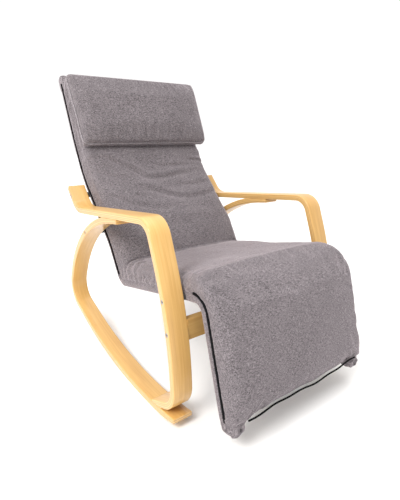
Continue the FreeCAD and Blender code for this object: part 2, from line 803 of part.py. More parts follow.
def make_hinge_insides():
    """Pins and ratchet gears turn with the seat; housings, pawls and springs with the footrest."""
    pins, gears, housings, pawls, springs = [], [], [], [], []
    housing_inner = FOOT_LEAF_INNER - size("housing_depth")
    pawl_low = size("gear_radius") + size("pawl_gap")
    pawl_high = size("housing_radius") - size("housing_wall") - 0.8
    for side_name, side in SIDES.items():
        out = (side, 0, 0)
        shank = rod(f"pin_shank_{side_name}", "Sizes.pin_radius", f"{LEAF_OUTER - PIN_END}",
                    (side * PIN_END, *PIVOT), out)
        head = rod(f"pin_head_{side_name}", "Sizes.pin_head_radius", "Sizes.pin_head_height",
                   (side * LEAF_OUTER, *PIVOT), out)
        pins.append(fuse(f"hinge_pin_{side_name}", [shank, head]))
        wheel_left = f"{GEAR_INNER}" if side > 0 else f"-{GEAR_INNER} - Sizes.gear_thickness"
        wheel = side_profile(f"gear_wheel_{side_name}", gear_outline(), "Sizes.gear_thickness",
                             wheel_left)
        bore = rod(f"gear_bore_{side_name}", "Sizes.pin_radius", "Sizes.gear_thickness + 2",
                   (side * (GEAR_INNER - 1), *PIVOT), out)
        gears.append(cut(f"ratchet_gear_{side_name}", wheel, [bore]))
        cup = rod(f"housing_cup_{side_name}", "Sizes.housing_radius", "Sizes.housing_depth",
                  (side * housing_inner, *PIVOT), out)
        hollow = rod(f"housing_hollow_{side_name}", "Sizes.housing_radius - Sizes.housing_wall",
                     "Sizes.housing_depth", (side * (housing_inner + size("housing_wall")), *PIVOT),
                     out)
        housings.append(cut(f"hinge_housing_{side_name}", cup, [hollow]))
        pawl_z = PIVOT[1] + (pawl_low + pawl_high) / 2
        pawls.append(block(f"pawl_{side_name}", "Sizes.gear_thickness", "5",
                           f"{pawl_high - pawl_low}",
                           (side * (GEAR_INNER + size("gear_thickness") / 2), PIVOT[0], pawl_z)))
        springs.append(block(f"pawl_spring_{side_name}", "Sizes.gear_thickness", "4", "0.6",
                             (side * (GEAR_INNER + size("gear_thickness") / 2), PIVOT[0],
                              PIVOT[1] + pawl_high + 0.3)))
    for label, members in (("hinge_pins", pins), ("ratchet_gears", gears),
                           ("hinge_housings", housings), ("ratchet_pawls", pawls),
                           ("pawl_springs", springs)):
        node(group(label, members), label)


def make_hinges():
    seat_heading, foot_heading = leaf_headings()
    for side_name, side in SIDES.items():
        make_leaf(f"{side_name}_hinge_seat_leaf", side, SEAT_LEAF_INNER, seat_heading,
                  "Sizes.pin_radius", SEAT_LEAF_SCREWS)
        make_leaf(f"{side_name}_hinge_foot_leaf", side, FOOT_LEAF_INNER, foot_heading,
                  "Sizes.pin_radius + Sizes.pin_clearance", FOOT_LEAF_SCREWS)
    leaf_screws("seat_leaf_screws", SEAT_LEAF_INNER, seat_heading, SEAT_LEAF_SCREWS)
    leaf_screws("foot_leaf_screws", FOOT_LEAF_INNER, foot_heading, FOOT_LEAF_SCREWS)
    make_hinge_insides()


# ---------------------------------------------------------------- assembly
for side_name, side in SIDES.items():
    make_arm_leg(side_name, side)
    make_rocker(side_name, side)
    make_side_rail(side_name, side)
    make_footrest_rail(side_name, side)
make_side_dowels()
make_stretcher()
make_side_bolts()
make_rail_hardware()
make_bars(seat_bars(), rail_path, RAIL_INNER, "Sizes.bar_depth", "Sizes.bar_width",
          "seat_frame_screws")
make_bars(SLATS, footrest_path, FOOT_RAIL_INNER, "Sizes.slat_depth", "Sizes.slat_width",
          "footrest_screws")
make_webbing("back_webbing", 110, 690, 7)
make_webbing("seat_webbing", 860, rail_path.length - 60, 5)
make_cushions()
make_hinges()
doc.recompute()

# ---------------------------------------------------------------- checks and export
for thing in doc.Objects:
    if "Invalid" in thing.State or "Error" in thing.State:
        raise ValueError(f"{thing.Name} failed: {thing.State}")
os.makedirs("parts", exist_ok=True)
whole = FreeCAD.BoundBox()
for thing in NODES:
    if thing.Shape.isNull() or not thing.Shape.isValid() or not thing.Shape.Solids:
        raise ValueError(f"{thing.Label} is not a valid solid")
    thing.Shape.exportStep(f"parts/{thing.Label}.step")
    whole.add(thing.Shape.BoundBox)
print(f"{len(NODES)} pieces, from {whole.XMin:.1f} {whole.YMin:.1f} {whole.ZMin:.1f}"
      f" to {whole.XMax:.1f} {whole.YMax:.1f} {whole.ZMax:.1f}")
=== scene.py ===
import json
import math

import bmesh
import bpy
import numpy as np
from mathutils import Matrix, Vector, noise
from mathutils.kdtree import KDTree


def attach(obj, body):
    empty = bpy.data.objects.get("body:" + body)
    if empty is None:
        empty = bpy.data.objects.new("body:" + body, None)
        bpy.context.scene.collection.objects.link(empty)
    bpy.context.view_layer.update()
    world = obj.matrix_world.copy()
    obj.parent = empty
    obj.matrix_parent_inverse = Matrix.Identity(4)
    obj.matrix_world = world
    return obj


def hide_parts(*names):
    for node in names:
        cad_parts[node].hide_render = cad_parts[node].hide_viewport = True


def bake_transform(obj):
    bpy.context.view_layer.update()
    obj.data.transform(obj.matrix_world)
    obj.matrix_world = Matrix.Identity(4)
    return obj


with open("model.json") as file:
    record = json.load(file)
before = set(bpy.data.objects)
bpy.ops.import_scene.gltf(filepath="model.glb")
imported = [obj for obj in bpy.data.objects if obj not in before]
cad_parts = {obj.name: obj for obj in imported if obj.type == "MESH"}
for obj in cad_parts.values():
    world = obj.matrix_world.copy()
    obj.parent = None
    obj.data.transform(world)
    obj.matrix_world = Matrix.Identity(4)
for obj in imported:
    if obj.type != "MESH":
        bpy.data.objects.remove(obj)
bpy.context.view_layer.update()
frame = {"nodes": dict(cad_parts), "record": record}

MM = 0.001

# ---------------------------------------------------------------- sizes, millimetres
# Corners of each bent piece as (y, z, bend radius).  ARM and ROCKER are the same as in the
# CAD part.  COVER follows its rail to the seat corner, then runs on over the knee.
ARM = [(341, 584, 0), (273, 511, 80), (-255, 565, 55), (-354, 304, 1040),
       (-361, 76, 75), (-242, 19, 0)]
ROCKER = [(-74, 534, 0), (269, 485, 583), (453, 129.5, 75), (-130, -65.8, 1374),
          (-576, 85, 0)]
COVER = [(525.4, 957, 0), (436, 750, 400), (368, 617, 400), (156, 401, 300),
         (83, 279.5, 35), (-403, 391.8, 45), (-489.8, 78.2, 0)]
STRIP_HALF = 30
STRIP_X = 305
ARM_HALF = 10
ROCKER_HALF = 11
EDGE_ROUND, CUT_EASE = 2.6, 0.7
FOOT_END = -248
TOE = -365
TOE_TAPER = (62, 9)
BOLTS = {"arm": (318, 555), "rocker": (202, 441), "seat": (-323, 371), "stretcher": (-341, 286)}
COVER_HALF = 267
SEAM = 10
PATH_STEP = 0.010        # the longest step along a path, metres
BOLT_BORES = ((6.5, 7.0), (3.3, 70.0))        # radius and depth of a bolt's head and shank
BORE_SIDES = 28
FOOT_CUT_BELOW = 0.08    # the foot's end is cut only below this height, metres
FIT_GAP = 0.4            # between a glued strip and the one it lies on


# ---------------------------------------------------------------- paths
def unit(v):
    return v / np.linalg.norm(v)


class Path:
    """Straight runs joined by tangent bends, in metres, as dense exact stations."""

    def __init__(self, corners, degrees=3.0):
        self.degrees = degrees
        corners = [(np.array(c[:2], float) * MM, c[2] * MM) for c in corners]
        self.points, self.headings = [], []
        here = corners[0][0]
        for (before, _), (corner, radius), (after, _) in zip(corners, corners[1:], corners[2:]):
            into, out = unit(corner - before), unit(after - corner)
            heading = math.atan2(into[1], into[0])
            turn = math.atan2(into[0] * out[1] - into[1] * out[0], float(into @ out))
            tangent = radius * math.tan(abs(turn) / 2)
            self.run(here, corner - into * tangent, heading)
            self.bend(corner - into * tangent, heading, turn, radius)
            here = corner + out * tangent
        last = corners[-1][0]
        self.run(here, last, math.atan2(*(last - here)[::-1]))
        self.points, self.headings = np.array(self.points), np.unwrap(np.array(self.headings))
        steps = np.linalg.norm(np.diff(self.points, axis=0), axis=1)
        self.s = np.concatenate([[0], np.cumsum(steps)])
        self.length = self.s[-1]

    def run(self, a, b, heading):
        count = max(1, math.ceil(np.linalg.norm(b - a) / PATH_STEP))
        for k in range(count + 1):
            self.points.append(a + (b - a) * k / count)
            self.headings.append(heading)

    def bend(self, a, heading, turn, radius):
        side = math.copysign(1, turn)
        centre = a + side * radius * np.array([-math.sin(heading), math.cos(heading)])
        count = max(2, math.ceil(abs(turn) / math.radians(self.degrees)),
                    math.ceil(radius * abs(turn) / PATH_STEP))
        for k in range(1, count):
            h = heading + turn * k / count
            self.points.append(centre - side * radius * np.array([-math.sin(h), math.cos(h)]))
            self.headings.append(h)

    def place(self, s):
        """Point and heading at a distance; outside the path it runs on straight."""
        inside = np.clip(s, 0, self.length)
        point = np.array([np.interp(inside, self.s, self.points[:, k]) for k in (0, 1)])
        heading = float(np.interp(inside, self.s, self.headings))
        ahead = np.array([math.cos(heading), math.sin(heading)])
        return point + ahead * (s - inside), heading

    def spot(self, s, x, n):
        """A point of the row frame; n is to the right of travel."""
        point, heading = self.place(s)
        return (x, point[0] + n * math.sin(heading), point[1] - n * math.cos(heading))

    def project(self, co):
        """Distance along the path and offset to the right of travel of many points."""
        moves = np.linalg.norm(np.diff(self.points, axis=0), axis=1) > 1e-7
        keep = np.concatenate([[True], moves])
        points, s0 = self.points[keep], self.s[keep]
        tree = KDTree(len(points))
        for k, point in enumerate(points):
            tree.insert((0, *point), k)
        tree.balance()
        yz = co[:, 1:]
        nearest = np.array([tree.find((0, y, z))[1] for y, z in yz])
        gap = np.full(len(yz), np.inf)
        along, offset = np.empty(len(yz)), np.empty(len(yz))
        for k in (np.clip(nearest - 1, 0, len(points) - 2), np.clip(nearest, 0, len(points) - 2)):
            a, d, rel = points[k], points[k + 1] - points[k], yz - points[k]
            length = np.linalg.norm(d, axis=1)
            t = np.clip((rel * d).sum(1) / length ** 2, 0, 1)
            away = np.linalg.norm(rel - t[:, None] * d, axis=1)
            cross = d[:, 0] * rel[:, 1] - d[:, 1] * rel[:, 0]
            closer = away < gap
            gap = np.where(closer, away, gap)
            along = np.where(closer, s0[k] + t * length, along)
            offset = np.where(closer, -np.sign(cross) * away, offset)
        return along, offset

    def corner_s(self, y, z):
        return float(self.project(np.array([[0, y * MM, z * MM]]))[0][0])


# ---------------------------------------------------------------- mesh helpers
def new_object(name, verts, faces, smooth=True):
    mesh = bpy.data.meshes.new(name)
    mesh.from_pydata([tuple(v) for v in verts], [], faces)
    mesh.update()
    bm = bmesh.new()
    bm.from_mesh(mesh)
    bmesh.ops.recalc_face_normals(bm, faces=bm.faces)
    bm.to_mesh(mesh)
    bm.free()
    obj = bpy.data.objects.new(name, mesh)
    bpy.context.scene.collection.objects.link(obj)
    if smooth:
        mesh.shade_smooth()
    return obj


def coords(obj):
    co = np.empty(len(obj.data.vertices) * 3)
    obj.data.vertices.foreach_get("co", co)
    return co.reshape(-1, 3)


def normals(obj):
    out = np.empty(len(obj.data.vertices) * 3)
    obj.data.vertex_normals.foreach_get("vector", out)
    return out.reshape(-1, 3)


def set_coords(obj, co):
    obj.data.vertices.foreach_set("co", co.astype(np.float32).ravel())
    obj.data.update()


def attribute(obj, name, values):
    layer = obj.data.attributes.get(name) or obj.data.attributes.new(name, "FLOAT_VECTOR", "POINT")
    layer.data.foreach_set("vector", values.astype(np.float32).ravel())


def apply_modifiers(obj):
    depsgraph = bpy.context.evaluated_depsgraph_get()
    mesh = bpy.data.meshes.new_from_object(obj.evaluated_get(depsgraph))
    old = obj.data
    obj.modifiers.clear()
    obj.data = mesh
    bpy.data.meshes.remove(old)


def ring_faces(rings, count, closed_ends=True):
    faces = []
    for r in range(rings - 1):
        for k in range(count):
            j = (k + 1) % count
            faces.append((r * count + k, r * count + j, (r + 1) * count + j, (r + 1) * count + k))
    if closed_ends:
        faces.append(tuple(range(count)))
        faces.append(tuple((rings - 1) * count + k for k in reversed(range(count))))
    return faces


def loft(name, path, stations, section):
    """A closed skin through sections (x, n) set across a path at each station."""
    verts = []
    for s in stations:
        ring = section(s)
        verts += [path.spot(s, x, n) for x, n in ring]
    return new_object(name, verts, ring_faces(len(stations), len(ring)))


def join(name, objects):
    verts, faces = [], []
    for obj in objects:
        base = len(verts)
        verts += [tuple(v.co) for v in obj.data.vertices]
        faces += [tuple(base + k for k in p.vertices) for p in obj.data.polygons]
        bpy.data.objects.remove(obj)
    return new_object(name, verts, faces)


def tube(name, line, radius, sides=8):
    """A round tube along a line of points, with closed ends."""
    line = np.array(line)
    ahead = np.gradient(line, axis=0)
    ahead /= np.linalg.norm(ahead, axis=1)[:, None]
    verts = []
    up = np.array([0.31, 0.05, 0.95])
    for point, t in zip(line, ahead):
        u = unit(np.cross(t, up))
        up = unit(np.cross(u, t))
        for k in range(sides):
            a = 2 * math.pi * k / sides
            verts.append(point + radius * (math.cos(a) * u + math.sin(a) * up))
    return new_object(name, verts, ring_faces(len(line), sides))


# ---------------------------------------------------------------- materials
class Nodes:
    """Short calls for a material's node tree."""

    def __init__(self, name):
        self.material = bpy.data.materials.new(name)
        self.material.use_nodes = True
        self.tree = self.material.node_tree
        self.shader = self.tree.nodes["Principled BSDF"]

    def link(self, source, socket):
        if isinstance(source, (int, float, tuple)):
            socket.default_value = source
        else:
            self.tree.links.new(source, socket)

    def make(self, kind, **settings):
        node = self.tree.nodes.new(kind)
        for key, value in settings.items():
            setattr(node, key, value)
        return node

    def math(self, operation, a, b=0.0, c=0.0, clamp=False):
        node = self.make("ShaderNodeMath", operation=operation, use_clamp=clamp)
        for value, socket in zip((a, b, c), node.inputs):
            self.link(value, socket)
        return node.outputs[0]

    def coordinate(self, name=None):
        if name is None:
            return self.make("ShaderNodeTexCoord").outputs["Object"]
        return self.make("ShaderNodeAttribute", attribute_name=name).outputs["Vector"]

    def scaled(self, vector, scale, shift=(0, 0, 0)):
        node = self.make("ShaderNodeMapping")
        self.link(vector, node.inputs["Vector"])
        node.inputs["Scale"].default_value = scale
        node.inputs["Location"].default_value = shift
        return node.outputs[0]

    def noise(self, vector, scale=1.0, detail=2.0, roughness=0.5, distortion=0.0):
        node = self.make("ShaderNodeTexNoise")
        self.link(vector, node.inputs["Vector"])
        for key, value in (("Scale", scale), ("Detail", detail), ("Roughness", roughness),
                           ("Distortion", distortion)):
            node.inputs[key].default_value = value
        return node.outputs["Fac"]

    def ramp(self, value, *stops):
        node = self.make("ShaderNodeValToRGB")
        self.link(value, node.inputs[0])
        elements = node.color_ramp.elements
        while len(elements) < len(stops):
            elements.new(0.5)
        for element, (position, colour) in zip(elements, stops):
            element.position = position
            element.color = (*colour, 1)
        return node.outputs[0]

    def mix(self, factor, a, b, blend="MIX"):
        node = self.make("ShaderNodeMix", data_type="RGBA", blend_type=blend)
        self.link(factor, node.inputs[0])
        for value, socket in ((a, node.inputs[6]), (b, node.inputs[7])):
            self.link((*value, 1) if isinstance(value, tuple) else value, socket)
        return node.outputs[2]

    def split(self, vector):
        node = self.make("ShaderNodeSeparateXYZ")
        self.link(vector, node.inputs[0])
        return node.outputs

    def bump(self, height, strength, distance, normal=None):
        node = self.make("ShaderNodeBump")
        node.inputs["Strength"].default_value = strength
        node.inputs["Distance"].default_value = distance
        self.link(height, node.inputs["Height"])
        if normal is not None:
            self.link(normal, node.inputs["Normal"])
        return node.outputs[0]

    def finish(self, colour, roughness, normal=None, **fixed):
        self.link(colour if not isinstance(colour, tuple) else (*colour, 1),
                  self.shader.inputs["Base Color"])
        self.link(roughness, self.shader.inputs["Roughness"])
        if normal is not None:
            self.link(normal, self.shader.inputs["Normal"])
        for key, value in fixed.items():
            self.shader.inputs[key.replace("_", " ")].default_value = value
        return self.material


def fabric_material(name, dark, light):
    """Melange plain weave: slubby warp and weft threads over a fine bump."""
    n = Nodes(name)
    cloth = n.coordinate("cloth")
    warp = n.noise(n.scaled(cloth, (1100, 190, 400)), detail=1, roughness=0.6)
    weft = n.noise(n.scaled(cloth, (150, 1100, 400), (7, 3, 1)), detail=1, roughness=0.6)
    fleck = n.noise(n.scaled(cloth, (1500, 1500, 1500)), detail=1)
    slub = n.math("MULTIPLY_ADD", weft, 0.42,
                  n.math("MULTIPLY_ADD", warp, 0.26, n.math("MULTIPLY", fleck, 0.32)))
    cloud = n.noise(n.scaled(cloth, (9, 9, 9)), detail=3)
    tone = n.math("MULTIPLY_ADD", cloud, 0.05, slub)
    middle = tuple(0.62 * a + 0.38 * b for a, b in zip(dark, light))
    colour = n.ramp(tone, (0.40, dark), (0.53, middle), (0.66, light))
    parts = n.split(n.scaled(cloth, (1, 1, 1)))
    pitch = 2 * math.pi / 0.0016
    over = n.math("SINE", n.math("MULTIPLY", parts[0], pitch))
    under = n.math("SINE", n.math("MULTIPLY", parts[1], pitch))
    weave = n.math("MULTIPLY_ADD", n.math("MULTIPLY", over, under), 0.5, slub)
    normal = n.bump(weave, 0.35, 0.0006)
    return n.finish(colour, 0.92, normal, Sheen_Weight=0.5, Sheen_Roughness=0.4,
                    Sheen_Tint=(1.0, 0.88, 0.93, 1), Specular_IOR_Level=0.2)


def wood_material(name, coordinate="grain", plies=4, half=ARM_HALF * MM, lift=1.0):
    """Lacquered birch: grain along the strip, and glue lines where the edge shows plies."""
    n = Nodes(name)
    grain = n.coordinate(coordinate)
    long_grain = n.noise(n.scaled(grain, (6, 190, 190)), detail=4, roughness=0.55)
    figure = n.noise(n.scaled(grain, (2.2, 22, 22), (1, 2, 3)), detail=3, distortion=0.6)
    tone = n.math("ADD", n.math("MULTIPLY", long_grain, 0.5), n.math("MULTIPLY", figure, 0.5))
    colour = n.ramp(tone, (0.30, (0.53 * lift, 0.285 * lift, 0.080 * lift)),
                    (0.52, (0.64 * lift, 0.380 * lift, 0.122 * lift)),
                    (0.74, (0.73 * lift, 0.470 * lift, 0.180 * lift)))
    normal = n.bump(long_grain, 0.12, 0.0004)
    if plies:
        depth = n.split(grain)[2]
        ply = 2 * half / plies
        place = n.math("ADD", n.math("DIVIDE", depth, ply), plies / 2)
        nearest = n.math("ABSOLUTE", n.math("SUBTRACT", place, n.math("ROUND", place)))
        line = n.math("SUBTRACT", 1.0, n.math("MULTIPLY", nearest, 3.8), clamp=True)
        inside = n.math("LESS_THAN", n.math("ABSOLUTE", depth), half * 0.93)
        shade = n.math("MULTIPLY", n.math("MULTIPLY", line, inside), 0.9)
        colour = n.mix(shade, colour, (0.23 * lift, 0.115 * lift, 0.045 * lift))
        odd = n.math("MODULO", n.math("ROUND", n.math("ADD", place, 20.5)), 2.0)
        colour = n.mix(n.math("MULTIPLY", n.math("MULTIPLY", odd, inside), 0.22), colour,
                       (0.78 * lift, 0.54 * lift, 0.24 * lift))
    return n.finish(colour, 0.40, normal, Coat_Weight=0.45, Coat_Roughness=0.18)


def metal_material(name, base, roughness):
    n = Nodes(name)
    place = n.coordinate()
    scratch = n.noise(n.scaled(place, (900, 120, 120)), detail=3)
    blotch = n.noise(n.scaled(place, (40, 40, 40)), detail=2)
    colour = n.ramp(blotch, (0.3, tuple(0.8 * v for v in base)), (0.7, base))
    rough = n.math("MULTIPLY_ADD", scratch, 0.25, roughness)
    return n.finish(colour, rough, n.bump(scratch, 0.1, 0.0002), Metallic=1.0)


def plain_material(name, base, roughness, grain_scale=500, speck_depth=0.25, **fixed):
    n = Nodes(name)
    speck = n.noise(n.scaled(n.coordinate(), (grain_scale,) * 3), detail=3)
    colour = n.ramp(speck, (0.3, tuple((1 - speck_depth) * v for v in base)), (0.7, base))
    return n.finish(colour, roughness, n.bump(speck, 0.2, 0.0003), **fixed)


def paint(obj, material):
    obj.data.materials.clear()
    obj.data.materials.append(material)
    return obj


ARM_WOOD = wood_material("birch_arm")
ROCKER_WOOD = wood_material("birch_rocker", half=ROCKER_HALF * MM)
BOARD_WOOD = wood_material("birch_board", coordinate=None, plies=0, lift=0.82)
FRAME_WOOD = wood_material("frame_wood", coordinate=None, plies=0, lift=0.8)
FABRIC = fabric_material("grey_melange", (0.015, 0.0122, 0.0137), (0.355, 0.315, 0.333))
# the piping cord is the cover cloth, painted lighter as a painted highlight where the round cord
# catches the light
WELT_WITH_PAINTED_HIGHLIGHT = fabric_material("grey_welt_with_painted_highlight", (0.07, 0.062, 0.065), (0.46, 0.42, 0.44))
# black piping; the same black also paints the shade in the footrest's seams and under its hem
BLACK_TRIM_AND_PAINTED_SHADE = plain_material("black_trim_and_painted_shade", (0.005, 0.005, 0.006), 0.9, Specular_IOR_Level=0.12)
ZINC = metal_material("zinc", (0.62, 0.62, 0.60), 0.3)
DARK_STEEL = metal_material("dark_steel", (0.42, 0.44, 0.47), 0.3)
STRAP = plain_material("black_webbing", (0.03, 0.03, 0.033), 0.85)
PLASTIC = plain_material("black_plastic", (0.05, 0.048, 0.045), 0.5)

SLOT_LOOKS = {"birch_laminate": BOARD_WOOD, "frame_wood": FRAME_WOOD, "cover_fabric": FABRIC,
              "webbing": STRAP, "zinc_steel": ZINC, "bolt_steel": DARK_STEEL,
              "black_plastic": PLASTIC}
for subpart in frame["record"]["subparts"]:
    paint(frame["nodes"][subpart["node"]], SLOT_LOOKS[subpart["material_slot"]])


# ---------------------------------------------------------------- bent wood
def rounded_rectangle(half_x, half_n, radius, steps=4):
    ring = []
    for cx, cn, first in ((1, 1, 0), (-1, 1, 90), (-1, -1, 180), (1, -1, 270)):
        for k in range(steps + 1):
            a = math.radians(first + 90 * k / steps)
            ring.append((cx * (half_x - radius) + radius * math.cos(a),
                         cn * (half_n - radius) + radius * math.sin(a)))
    return ring


def strip(name, path, half, centre_x):
    ring = [(centre_x + x * MM, n * MM)
            for x, n in rounded_rectangle(STRIP_HALF, half, EDGE_ROUND)]
    stations = sorted(set(np.round(path.s, 6)))
    return loft(name, path, stations, lambda s: ring)


def slice_off(obj, point, normal, below=10.0):
    """Cuts away what lies beyond a plane (y, z given), up to a height, and closes the cut."""
    bm = bmesh.new()
    bm.from_mesh(obj.data)
    faces = [f for f in bm.faces if max(v.co.z for v in f.verts) < below]
    edges = {e for f in faces for e in f.edges}
    verts = {v for f in faces for v in f.verts}
    cut = bmesh.ops.bisect_plane(bm, geom=list(verts) + list(edges) + faces,
                                 plane_co=(0, *point), plane_no=(0, *normal), clear_outer=True)
    edges = [g for g in cut["geom_cut"] if isinstance(g, bmesh.types.BMEdge)]
    bmesh.ops.edgenet_fill(bm, edges=edges)
    bmesh.ops.recalc_face_normals(bm, faces=bm.faces)
    bm.to_mesh(obj.data)
    bm.free()


def bore(obj, spots, side):
    """Counterbored bolt holes (y, z given) in the outer edge of a strip."""
    cutters = []
    for y, z in spots:
        for radius, depth in BOLT_BORES:
            verts = []
            for x in (STRIP_X + STRIP_HALF + 3, STRIP_X + STRIP_HALF - depth):
                for k in range(BORE_SIDES):
                    a = 2 * math.pi * k / BORE_SIDES
                    verts.append((side * x * MM, (y + radius * math.cos(a)) * MM,
                                  (z + radius * math.sin(a)) * MM))
            cutters.append(new_object("cutter", verts, ring_faces(2, BORE_SIDES), smooth=False))
    for cutter in cutters:
        cutter.hide_render = True
        modifier = obj.modifiers.new("bore", "BOOLEAN")
        modifier.operation, modifier.solver, modifier.object = "DIFFERENCE", "EXACT", cutter
    apply_modifiers(obj)
    for cutter in cutters:
        bpy.data.objects.remove(cutter)


def ease_edges(obj):
    modifier = obj.modifiers.new("ease", "BEVEL")
    modifier.width, modifier.segments = CUT_EASE * MM, 2
    modifier.limit_method, modifier.angle_limit = "ANGLE", math.radians(40)
    apply_modifiers(obj)


arm_path, rocker_path, cover_path = Path(ARM), Path(ROCKER), Path(COVER)
fine_cover_path = Path(COVER, degrees=0.4)
# The runner's long bend: its lowest centreline point and its radius.
low = rocker_path.points[rocker_path.points[:, 1].argmin()]
RUNNER_RADIUS = ROCKER[3][2] * MM
RUNNER_CENTRE = np.array([low[0], low[1] + RUNNER_RADIUS])


def on_runner(y, offset):
    radius = RUNNER_RADIUS + offset
    return np.array([y, RUNNER_CENTRE[1] - math.sqrt(radius ** 2 - (y - RUNNER_CENTRE[0]) ** 2)])


def plane_through(a, b, upward):
    d = unit(b - a)
    normal = np.array([-d[1], d[0]])
    if (normal[1] > 0) != upward:
        normal = -normal
    return a, normal


def finish_strip(obj, path, node, material):
    ease_edges(obj)
    along, offset = path.project(coords(obj))
    attribute(obj, "grain", np.stack([along, coords(obj)[:, 0], offset], 1))
    paint(obj, material)
    smooth_by_angle(obj, 32)
    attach(obj, "chair")
    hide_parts(node)


def smooth_by_angle(obj, degrees):
    bm = bmesh.new()
    bm.from_mesh(obj.data)
    for edge in bm.edges:
        edge.smooth = len(edge.link_faces) == 2 and edge.calc_face_angle(0) < math.radians(degrees)
    for face in bm.faces:
        face.smooth = True
    bm.to_mesh(obj.data)
    bm.free()


def side_frame(side_name, side):
    arm = strip(f"{side_name}_arm_and_leg", arm_path, ARM_HALF, side * STRIP_X * MM)
    inner = -(ROCKER_HALF + FIT_GAP) * MM
    slice_off(arm, *plane_through(on_runner(-0.350, inner), on_runner(-0.245, inner), False))
    slice_off(arm, (FOOT_END * MM, 0), (1, 0), below=FOOT_CUT_BELOW)
    bore(arm, [BOLTS[key] for key in ("arm", "seat", "stretcher")], side)
    finish_strip(arm, arm_path, f"{side_name}_arm_leg", ARM_WOOD)
    rocker = strip(f"{side_name}_bent_rocker", rocker_path, ROCKER_HALF, side * STRIP_X * MM)
    # the scarf lies along the straight underside of the arm
    under = [np.array(arm_path.spot(arm_path.corner_s(y, z), 0, -(ARM_HALF - FIT_GAP) * MM)[1:])
             for y, z in ((200, 518), (-150, 554))]
    slice_off(rocker, *plane_through(*under, True))
    toe_low = on_runner((TOE + TOE_TAPER[0]) * MM, ROCKER_HALF * MM)
    tip = on_runner(TOE * MM, ROCKER_HALF * MM) + (0, TOE_TAPER[1] * MM)
    slice_off(rocker, (TOE * MM, 0), (-1, 0))
    slice_off(rocker, *plane_through(toe_low, tip, False))
    slice_off(rocker, (0, 0.0), (0, -1))
    bore(rocker, [BOLTS["rocker"]], side)
    finish_strip(rocker, rocker_path, f"{side_name}_rocker", ROCKER_WOOD)


for side_name, side in (("left", -1), ("right", 1)):
    side_frame(side_name, side)


# ---------------------------------------------------------------- cloth cover
PANEL_STEPS = 40
COVER_TOP, COVER_SHORT = -0.014, 0.016        # where the cover starts, and how far it stops short
EAR_LENGTH, SLEEVE_LENGTH = 0.034, 0.040
S_SEAT_CORNER = cover_path.corner_s(83, 279.5)
S_KNEE = cover_path.corner_s(-403, 391.8)
S_END = cover_path.length


def profile(s, table):
    return float(np.interp(s, [row[0] for row in table], [row[1] for row in table]))


# Front and rear faces of the cover as offsets from the rails, along the chair.
FRONT = [(COVER_TOP, 0.034), (0.02, 0.056), (0.15, 0.062), (0.285, 0.062), (0.325, 0.073),
         (0.38, 0.069), (0.55, 0.062), (S_SEAT_CORNER, 0.060)]
SEAT_TOP = [(S_SEAT_CORNER, 0.058), (S_SEAT_CORNER + 0.14, 0.055), (S_SEAT_CORNER + 0.25, 0.049),
            (S_KNEE - 0.06, 0.048), (S_KNEE, 0.050), (S_KNEE + 0.08, 0.056),
            (S_END - 0.06, 0.056), (S_END - COVER_SHORT, 0.052)]
REAR = [(0, 0.0215), (S_KNEE - 0.07, 0.0215), (S_KNEE - 0.02, 0.024), (S_KNEE + 0.05, 0.026),
        (S_END - COVER_SHORT, 0.024)]


def cover_section(half, front, rear, seam, crown=0.005, corner=0.012):
    """Ring (x, n): a crowned front panel over rounded edges, and a flat rear."""
    height = max(front - seam, 0.002)
    corner = min(corner, height)
    edge = [(half, seam + (height - corner) * k / 6) for k in range(6)]
    for k in range(9):
        a = math.radians(90 * k / 8)
        edge.append((half - corner + corner * math.cos(a),
                     seam + height - corner + corner * math.sin(a)))
    panel, back = [], []
    for k in range(1, PANEL_STEPS):
        t = 1 - 2 * k / PANEL_STEPS
        panel.append(((half - corner) * t, front + crown * (1 - t ** 4)))
        a = math.pi * k / PANEL_STEPS
        across, deep = -math.cos(a), math.sin(a)
        back.append((half * math.copysign(abs(across) ** (1 / 6), across),
                     seam - (rear + seam) * deep ** (2 / 7)))
    return edge + panel + [(-x, n) for x, n in edge[::-1]] + back


def span(first, last, step=0.008):
    return np.linspace(first, last, max(2, int((last - first) / step) + 1))


def cover_shape():
    """Back, seat and footrest in one, with corners that fold over the ends of the rails."""
    half = COVER_HALF * MM
    seam = SEAM * MM
    back = loft("back_part", cover_path, span(COVER_TOP, S_SEAT_CORNER - 0.012),
                lambda s: cover_section(half, profile(s, FRONT), profile(s, REAR), seam))
    wrap = loft("wrap_part", cover_path, span(S_SEAT_CORNER - 0.10, S_SEAT_CORNER + 0.10, 0.003),
                lambda s: cover_section(half - 0.001, 0.026, profile(s, REAR), seam, crown=0))
    seat = loft("seat_part", cover_path, span(S_SEAT_CORNER + 0.012, S_END - COVER_SHORT, 0.006),
                lambda s: cover_section(half + 0.002, profile(s, SEAT_TOP), profile(s, REAR), seam))
    pieces = [back, wrap, seat]
    for side in (-1, 1):
        def ear(s, side=side):
            t = np.clip((S_END + EAR_LENGTH - s) / 0.030, 0.05, 1) ** 0.45
            ring = rounded_rectangle(22 * t, 30 * t, 11 * t)
            return [((side * (246 + 6 * (1 - t)) + x) * MM, (12 + n) * MM) for x, n in ring]

        def sleeve(s, side=side):
            t = np.clip((s + SLEEVE_LENGTH) / 0.016, 0.1, 1) ** 0.5
            ring = rounded_rectangle(17 * t, 20 * t, 8 * t)
            return [((side * 251 + x) * MM, (n - 1) * MM) for x, n in ring]
        pieces.append(loft("ear_part", cover_path,
                           span(S_END - 0.07, S_END + EAR_LENGTH - 0.0005, 0.003), ear))
        pieces.append(loft("sleeve_part", cover_path,
                           span(0.0005 - SLEEVE_LENGTH, 0.02, 0.003), sleeve))
    return join("seat_cover", pieces)


PRESSURE, STIFFNESS, SIM_FRAMES = 4.0, 12, 20


def remesh(obj, size):
    modifier = obj.modifiers.new("remesh", "REMESH")
    modifier.mode, modifier.voxel_size = "VOXEL", size
    apply_modifiers(obj)


def relax(obj, rounds):
    modifier = obj.modifiers.new("relax", "SMOOTH")
    modifier.iterations, modifier.factor = rounds, 0.5
    apply_modifiers(obj)


